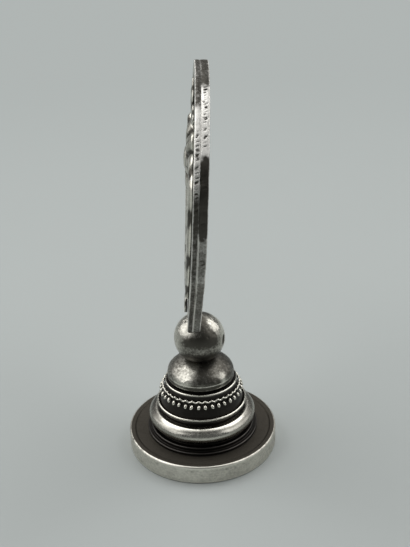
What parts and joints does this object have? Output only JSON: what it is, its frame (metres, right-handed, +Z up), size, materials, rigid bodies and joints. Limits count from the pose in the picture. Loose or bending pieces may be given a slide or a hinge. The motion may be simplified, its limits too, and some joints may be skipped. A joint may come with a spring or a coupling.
{
  "type": "seal matrix",
  "caption": "Desk seal for wax: a round engraved die under a stepped beaded stem and a ball that holds an upright ornamented plate as its handle.",
  "frame": {"origin": "on the stem's axis, in the plane of the printing face, which is the centre of the object's base", "axes": "+Z up along the stem from the printing face; the handle plate stands in the Y-Z plane, its ornamented face towards -X and its plain back towards +X; +Y across the handle's width"},
  "size_m": [0.026, 0.0376, 0.0673],
  "materials": {
    "satin_silver": "worn satin silver with fine scratches and dark tarnish in the hollows",
    "polished_silver": "bright silver, rubbed smooth on rings, wires and beads",
    "blackened_silver": "oxidised brown-black silver with a dull sheen",
    "pin_steel": "dull steel, hidden but for the pin's recessed ends"
  },
  "bodies": {
    "root": {"die_disc": "satin_silver", "stepped_plinth": "blackened_silver", "bright_ring": "polished_silver", "tapered_collar": "blackened_silver", "lower_wire": "polished_silver", "bead_row": "polished_silver", "waved_wire": "polished_silver", "upper_wire": "polished_silver", "bell_cap": "satin_silver", "stud": "pin_steel", "ball": "satin_silver", "cross_pin": "pin_steel", "back_plate": "satin_silver", "front_plate": "satin_silver", "rosette": "satin_silver", "stem_leaf": "satin_silver", "foot_leaf": "satin_silver", "crest_leaf": "satin_silver", "scroll_left": "satin_silver", "scroll_right": "satin_silver", "side_leaf_left": "satin_silver", "side_leaf_right": "satin_silver", "crest_side_left": "satin_silver", "crest_side_right": "satin_silver"}
  },
  "joints": []
}
